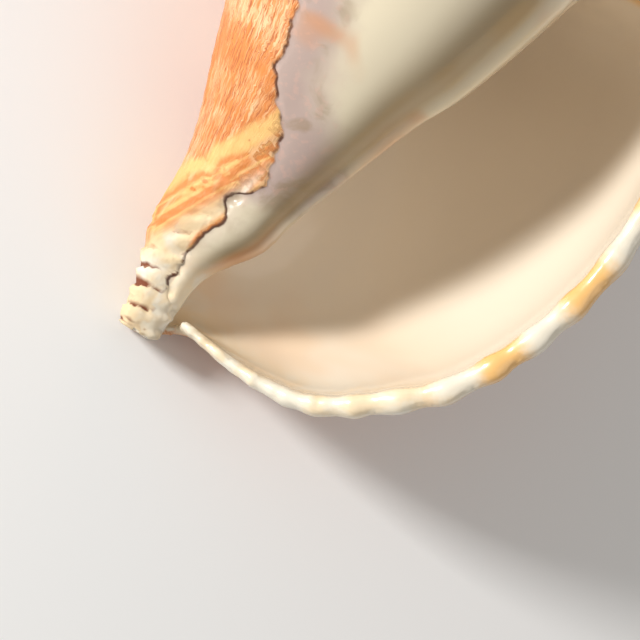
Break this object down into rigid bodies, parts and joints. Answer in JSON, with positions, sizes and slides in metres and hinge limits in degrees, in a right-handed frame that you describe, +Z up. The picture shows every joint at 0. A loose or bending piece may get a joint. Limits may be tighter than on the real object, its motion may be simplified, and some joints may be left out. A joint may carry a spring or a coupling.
{
  "type": "conch shell",
  "caption": "Large flared conch shell lying on its back with the mouth up: knobbed spire, rounded body whorl, glazed inner lip and a wide lobed outer lip.",
  "frame": {"origin": "on the surface the shell lies on, at the middle of its footprint box", "axes": "+Z up, +X along the shell's length towards the apex of the spire, +Y towards the side away from the flared lip"},
  "size_m": [0.1896, 0.14, 0.1026],
  "materials": {
    "shell": "polished natural shell, glossy in the mouth and chalky at the canal"
  },
  "bodies": {
    "root": {"shell": "shell"}
  },
  "joints": []
}
